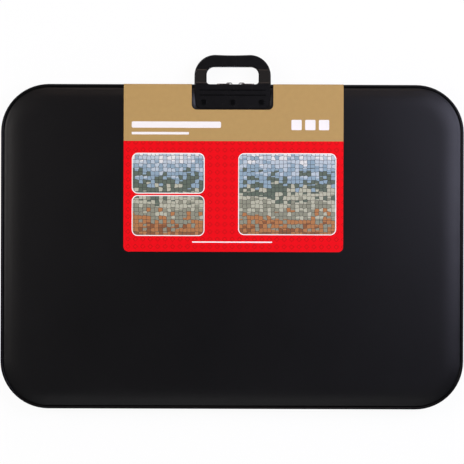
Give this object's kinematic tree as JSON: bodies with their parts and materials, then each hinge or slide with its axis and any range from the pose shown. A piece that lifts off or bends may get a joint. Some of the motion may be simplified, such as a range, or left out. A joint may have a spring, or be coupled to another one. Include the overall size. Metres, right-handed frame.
{
  "type": "puzzle carrier",
  "caption": "Flat zip-up carrying case for jigsaw puzzles: padded covers on stiff boards, felt lining, loose sorting boards, twin zip sliders and riveted grip handles.",
  "frame": {"origin": "centre of the flat of the back cover, which the closed case lies on", "axes": "+X across the case's width, +Y towards the handles, +Z out of the front cover"},
  "size_m": [0.8096, 0.6202, 0.0409],
  "materials": {
    "imitation_leather": "satin",
    "foam": "matte",
    "hardboard": "matte",
    "felt": "matte",
    "rim_plastic": "matte",
    "piping": "satin",
    "zip_tape": "matte",
    "zip_teeth": "satin",
    "hinge_fabric": "satin",
    "handle_plastic": "satin",
    "rivet_enamel": "satin",
    "strip_steel": "satin",
    "greyboard": "matte",
    "printed_card": "gloss",
    "nickel": "polished"
  },
  "bodies": {
    "base": {"back_cover": "imitation_leather", "back_foam": "foam", "back_board": "hardboard", "base_felt": "felt", "base_side_wall": "imitation_leather", "base_rim": "rim_plastic", "back_piping": "piping", "base_zip_tape": "zip_tape", "base_zip_teeth": "zip_teeth", "base_zip_stops": "zip_teeth", "base_hinge_strip": "hinge_fabric", "back_handle": "handle_plastic", "back_rivets": "rivet_enamel", "back_rivet_strip": "strip_steel", "sorting_board_lower": "greyboard", "sorting_board_lower_felt": "felt", "sorting_board_upper": "greyboard", "sorting_board_upper_felt": "felt"},
    "lid": {"front_cover": "imitation_leather", "front_foam": "foam", "front_board": "hardboard", "lid_felt": "felt", "lid_side_wall": "imitation_leather", "lid_rim": "rim_plastic", "front_piping": "piping", "lid_zip_tape": "zip_tape", "lid_zip_teeth": "zip_teeth", "lid_zip_stops": "zip_teeth", "lid_hinge_strip": "hinge_fabric", "front_handle": "handle_plastic", "front_rivets": "rivet_enamel", "front_rivet_strip": "strip_steel", "label_card": "printed_card"},
    "left_slider": {"slider_left": "nickel"},
    "right_slider": {"slider_right": "nickel"},
    "left_pull": {"pull_left": "nickel"},
    "right_pull": {"pull_right": "nickel"}
  },
  "joints": [
    {"name": "lid_hinge", "type": "hinge", "parent": "base", "child": "lid", "pos_m": [0, -0.2843, 0.0205], "axis": [1, 0, 0], "range_deg": [0, 180]},
    {"name": "left_slider_run", "type": "slide", "parent": "base", "child": "left_slider", "axis": [-1, 0, 0], "range_m": [0, 0.304]},
    {"name": "right_slider_run", "type": "slide", "parent": "base", "child": "right_slider", "axis": [1, 0, 0], "range_m": [0, 0.294]},
    {"name": "left_pull_swing", "type": "hinge", "parent": "left_slider", "child": "left_pull", "pos_m": [-0.006, 0.2852, 0.0205], "axis": [0, 0, -1], "range_deg": [0, 160]},
    {"name": "right_pull_swing", "type": "hinge", "parent": "right_slider", "child": "right_pull", "pos_m": [0.016, 0.2852, 0.0205], "axis": [0, 0, 1], "range_deg": [0, 160]}
  ]
}
